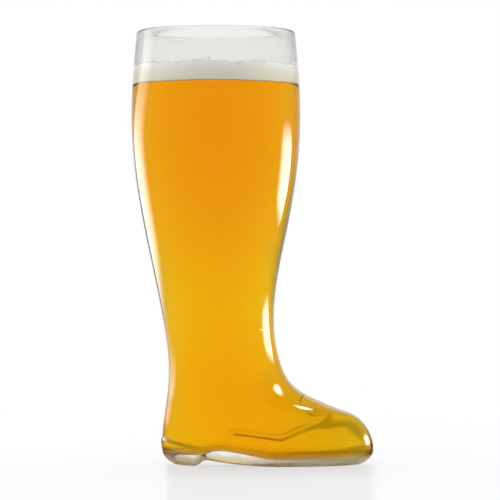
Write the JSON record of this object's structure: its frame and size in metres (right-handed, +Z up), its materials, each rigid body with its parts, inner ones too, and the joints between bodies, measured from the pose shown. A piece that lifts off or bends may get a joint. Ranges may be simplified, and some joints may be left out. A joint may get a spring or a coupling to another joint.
{
  "type": "beer boot glass",
  "caption": "Boot-shaped drinking glass with a swelling shaft, heel, arch and toe cap, filled with beer under a head of foam.",
  "frame": {"origin": "centre of the box around the boot, on the surface that it stands on", "axes": "+Z up along the shaft, +X towards the toe, +Y to the boot's left"},
  "size_m": [0.1782, 0.1246, 0.318],
  "materials": {
    "glass": "clear blown glass, fire-polished",
    "beer": "clear golden lager",
    "foam": "matte, fine bubbles"
  },
  "bodies": {
    "root": {"boot_glass": "glass", "beer": "beer", "foam_head": "foam"}
  },
  "joints": []
}
